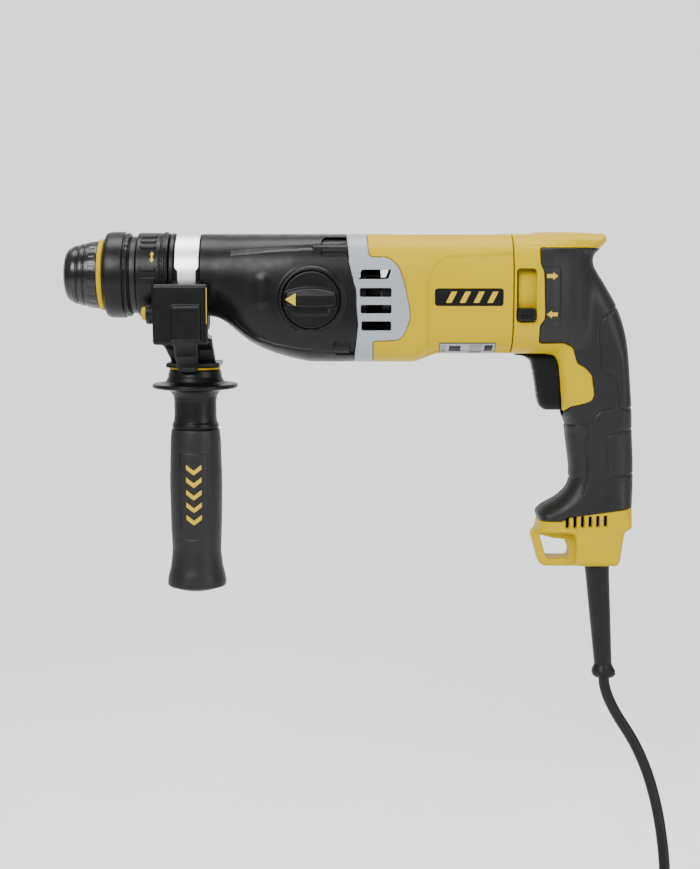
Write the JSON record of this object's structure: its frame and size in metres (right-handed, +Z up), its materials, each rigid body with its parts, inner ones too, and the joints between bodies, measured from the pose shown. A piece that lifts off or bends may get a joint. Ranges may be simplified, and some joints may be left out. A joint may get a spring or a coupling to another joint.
{
  "type": "rotary hammer",
  "caption": "Corded rotary hammer with a quick-change tool holder, pistol grip with trigger, clamp-on side handle, mode knob, and a mains lead coiled for storage.",
  "frame": {"origin": "middle of the main grip, where the hand holds the tool", "axes": "-X towards the nose, +Z up, -Y towards the user's left side"},
  "size_m": [0.4563, 0.1707, 0.5343],
  "materials": {
    "black_plastic": "fine moulded texture",
    "black_rubber": "matt moulded rubber",
    "yellow_plastic": "satin moulded",
    "grey_plastic": "satin moulded",
    "steel": "ground",
    "dark_steel": "phosphated",
    "aluminium": "satin",
    "copper": "enamelled copper",
    "carbon": "pressed carbon"
  },
  "bodies": {
    "tool": {"neck_collar": "black_plastic", "gearbox_cover": "black_plastic", "gearbox_screw_1": "dark_steel", "gearbox_screw_2": "dark_steel", "gearbox_screw_3": "dark_steel", "gearbox_screw_4": "dark_steel", "bearing_plate": "aluminium", "spindle_front_bearing": "steel", "intermediate_bearing": "steel", "vent_ring": "grey_plastic", "motor_housing": "yellow_plastic", "stator_core": "dark_steel", "field_winding_upper": "copper", "field_winding_lower": "copper", "motor_front_bearing": "steel", "motor_rear_bearing": "steel", "handle_shell_left": "yellow_plastic", "handle_shell_right": "yellow_plastic", "grip_rubber_left": "black_rubber", "grip_rubber_right": "black_rubber", "switch_module": "black_plastic", "cord_clamp": "black_plastic", "cord_protector": "black_rubber", "cord": "black_rubber", "cord_coil": "black_rubber", "cord_tie": "black_plastic", "cord_tail": "black_rubber", "plug_body": "black_rubber"},
    "armature": {"armature_shaft": "steel", "armature_core": "dark_steel", "commutator": "copper", "fan": "black_plastic"},
    "layshaft": {"intermediate_shaft": "steel", "intermediate_gear": "steel"},
    "spindle_group": {"spindle": "steel", "spindle_gear": "steel"},
    "chuck": {"chuck_body": "dark_steel", "nose_cap": "black_rubber", "yellow_trim_ring": "yellow_plastic", "locking_ball": "steel", "sleeve_spring": "steel"},
    "sleeve": {"release_sleeve": "black_plastic"},
    "change_ring": {"quick_change_ring": "black_plastic"},
    "wobble": {"wobble_ring": "steel"},
    "piston_body": {"piston": "steel"},
    "striker_body": {"striker": "steel"},
    "bolt_body": {"impact_bolt": "dark_steel"},
    "knob": {"mode_knob": "black_plastic"},
    "fork": {"mode_fork": "steel"},
    "brush_plate": {"brush_ring": "black_plastic", "carbon_brush_left": "carbon", "carbon_brush_right": "carbon"},
    "trigger_body": {"trigger": "black_plastic"},
    "side_clamp": {"handle_strap": "aluminium", "handle_bracket": "black_plastic", "clamp_bolt": "steel"},
    "side_grip": {"side_handle_core": "black_plastic", "side_handle_grip": "black_rubber"},
    "washer": {"handle_ring": "yellow_plastic"},
    "stop_button": {"depth_stop_button": "yellow_plastic"}
  },
  "joints": [
    {"name": "armature_spin", "type": "hinge", "parent": "tool", "child": "armature", "pos_m": [-0.1, 0, 0.105], "axis": [1, 0, 0], "continuous": true},
    {"name": "layshaft_spin", "type": "hinge", "parent": "tool", "child": "layshaft", "pos_m": [-0.2, 0, 0.0853], "axis": [1, 0, 0], "continuous": true},
    {"name": "spindle_spin", "type": "hinge", "parent": "tool", "child": "spindle_group", "pos_m": [-0.25, 0, 0.1183], "axis": [1, 0, 0], "continuous": true},
    {"name": "chuck_pull_off", "type": "slide", "parent": "spindle_group", "child": "chuck", "axis": [-1, 0, 0], "range_m": [0, 0.03]},
    {"name": "release_sleeve_slide", "type": "slide", "parent": "chuck", "child": "sleeve", "axis": [1, 0, 0], "range_m": [0, 0.005], "stiffness_N_per_m": 900, "springref_m": -0.004, "deforming": ["sleeve_spring"]},
    {"name": "change_ring_twist", "type": "hinge", "parent": "spindle_group", "child": "change_ring", "pos_m": [-0.318, 0, 0.1183], "axis": [1, 0, 0], "range_deg": [0, 25], "stiffness_Nm_per_rad": 1.5, "springref_deg": -5.73},
    {"name": "wobble_rock", "type": "hinge", "parent": "tool", "child": "wobble", "pos_m": [-0.208, 0, 0.0853], "axis": [0, 1, 0], "range_deg": [-9, 9]},
    {"name": "piston_slide", "type": "slide", "parent": "tool", "child": "piston_body", "axis": [1, 0, 0], "range_m": [-0.0052, 0.0052]},
    {"name": "striker_slide", "type": "slide", "parent": "tool", "child": "striker_body", "axis": [-1, 0, 0], "range_m": [0, 0.0052]},
    {"name": "impact_bolt_slide", "type": "slide", "parent": "tool", "child": "bolt_body", "axis": [-1, 0, 0], "range_m": [0, 0.0035]},
    {"name": "mode_knob_turn", "type": "hinge", "parent": "tool", "child": "knob", "pos_m": [-0.2068, -0.038, 0.1017], "axis": [0, 1, 0], "range_deg": [-90, 90]},
    {"name": "mode_fork_slide", "type": "slide", "parent": "tool", "child": "fork", "axis": [1, 0, 0], "range_m": [-0.003, 0.003]},
    {"name": "reversing_lever_turn", "type": "hinge", "parent": "tool", "child": "brush_plate", "pos_m": [-0.055, 0, 0.105], "axis": [1, 0, 0], "range_deg": [-32, 0]},
    {"name": "trigger_pull", "type": "slide", "parent": "tool", "child": "trigger_body", "axis": [1, 0, 0], "range_m": [0, 0.006], "stiffness_N_per_m": 1500, "springref_m": -0.003},
    {"name": "side_handle_swing", "type": "hinge", "parent": "tool", "child": "side_clamp", "pos_m": [-0.291, 0, 0.1183], "axis": [1, 0, 0], "range_deg": [-180, 180]},
    {"name": "side_grip_twist", "type": "hinge", "parent": "side_clamp", "child": "side_grip", "pos_m": [-0.291, 0, 0], "axis": [0, 0, 1], "range_deg": [0, 720]},
    {"name": "washer_turn", "type": "hinge", "parent": "side_clamp", "child": "washer", "pos_m": [-0.291, 0, 0.0523], "axis": [0, 0, 1], "range_deg": [0, 720]},
    {"name": "depth_button_press", "type": "slide", "parent": "side_clamp", "child": "stop_button", "axis": [1, 0, 0], "range_m": [0, 0.004], "stiffness_N_per_m": 800, "springref_m": -0.003}
  ],
  "couplings": [
    {"joint": "layshaft_spin", "follows": "armature_spin", "ratio": -0.2},
    {"joint": "spindle_spin", "follows": "armature_spin", "ratio": 0.072},
    {"joint": "wobble_rock", "follows": "piston_slide", "rad_per_m": 30},
    {"joint": "mode_knob_turn", "follows": "mode_fork_slide", "rad_per_m": 523}
  ]
}
